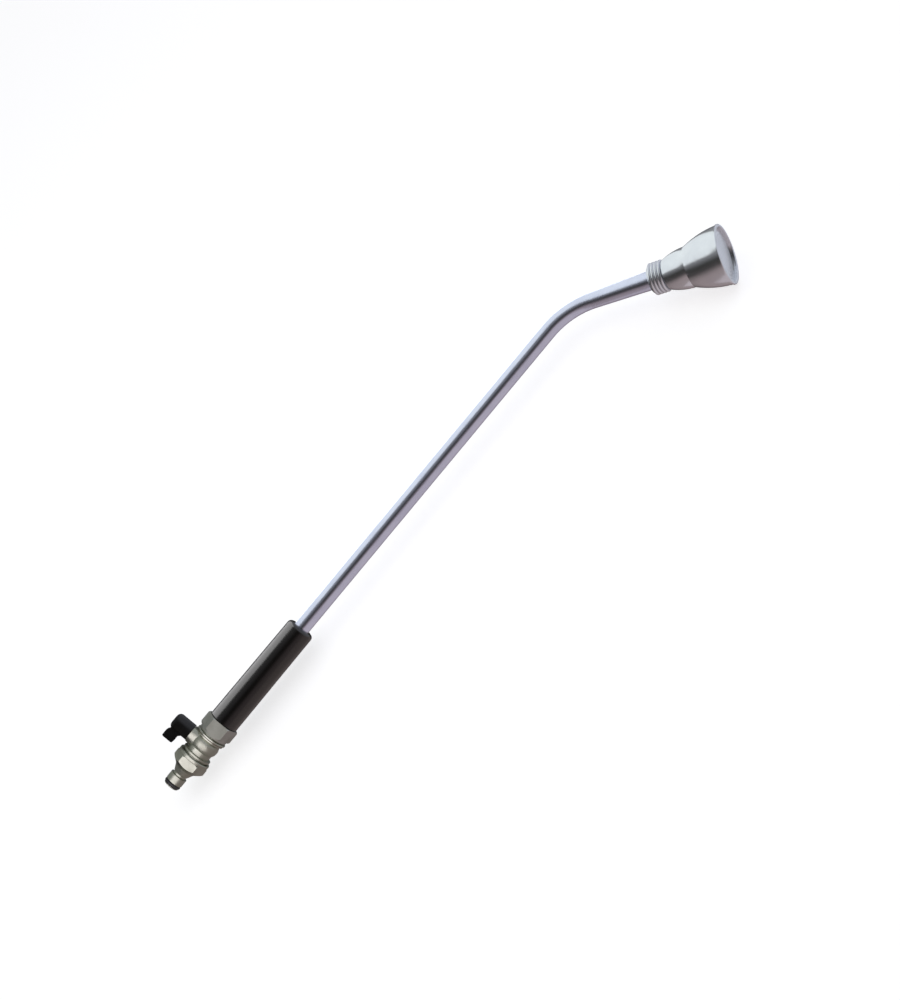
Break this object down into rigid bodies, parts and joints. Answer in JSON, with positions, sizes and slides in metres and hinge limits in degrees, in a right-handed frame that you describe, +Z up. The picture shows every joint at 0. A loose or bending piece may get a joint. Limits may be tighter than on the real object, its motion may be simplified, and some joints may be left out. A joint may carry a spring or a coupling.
{
  "type": "watering wand",
  "caption": "Garden watering wand: quick plug, ball valve with lever, union nut, sleeve grip, bent aluminium tube and a bell-shaped perforated rose.",
  "frame": {"origin": "centre of the plug's open end, on the straight tube's axis", "axes": "+X up the straight tube towards the head; +Z up with the bend lying level; the head turns towards -Y"},
  "size_m": [0.7269, 0.1629, 0.0586],
  "materials": {
    "nickel": "nickel-plated brass, satin",
    "nickel_nut": "nickel-plated brass, matt",
    "aluminium_tube": "clear anodised",
    "aluminium_head": "polished and anodised",
    "grip_rubber": "smooth",
    "lever_plastic": "moulded",
    "seal_rubber": "smooth",
    "seat_plastic": "turned",
    "ball_chrome": "polished",
    "brass_plain": "turned",
    "steel": "stainless",
    "fibre": "vulcanised fibre"
  },
  "bodies": {
    "wand": {"wand_tube": "aluminium_tube", "grip_sleeve": "grip_rubber", "tail_piece": "brass_plain", "tail_o_ring": "seal_rubber", "nut_slip_ring": "seat_plastic", "union_gasket": "seal_rubber", "head_adaptor": "aluminium_head", "adaptor_o_ring": "seal_rubber"},
    "union_nut": {"union_nut": "nickel_nut"},
    "valve": {"hose_plug": "nickel", "plug_o_ring": "seal_rubber", "plug_washer": "seal_rubber", "valve_body": "nickel", "inlet_seat": "seat_plastic", "outlet_seat": "seat_plastic", "valve_end_cap": "nickel", "end_cap_gasket": "fibre"},
    "lever": {"lever_handle": "lever_plastic", "lever_screw": "steel", "valve_stem": "brass_plain", "stem_thrust_washer": "seat_plastic", "stem_o_rings": "seal_rubber", "valve_ball": "ball_chrome"},
    "rose_washer": {"rose_gasket": "seal_rubber", "filter_screen": "steel"},
    "rose": {"rose_shell": "aluminium_head", "diffuser_disc": "steel", "face_gasket": "seal_rubber", "face_plate": "aluminium_head", "rim_ring": "aluminium_head"}
  },
  "joints": [
    {"name": "union_nut_turn", "type": "hinge", "parent": "wand", "child": "union_nut", "pos_m": [0.07, 0, 0], "axis": [1, 0, 0], "range_deg": [0, 1800]},
    {"name": "valve_back_off", "type": "slide", "parent": "wand", "child": "valve", "axis": [-1, 0, 0], "range_m": [0, 0.00907]},
    {"name": "lever_turn", "type": "hinge", "parent": "valve", "child": "lever", "pos_m": [0.051, 0, 0], "axis": [0, -0.7314, -0.682], "range_deg": [0, 90]},
    {"name": "rose_back_off", "type": "slide", "parent": "wand", "child": "rose_washer", "axis": [0.7314, -0.682, 0], "range_m": [0, 0.0075]},
    {"name": "rose_turn", "type": "hinge", "parent": "rose_washer", "child": "rose", "pos_m": [0.589, 0, 0], "axis": [0.7314, -0.682, 0], "range_deg": [0, 1800]}
  ],
  "couplings": [
    {"joint": "union_nut_turn", "follows": "valve_back_off", "rad_per_m": 3463.7},
    {"joint": "rose_turn", "follows": "rose_back_off", "rad_per_m": 4188.8}
  ]
}
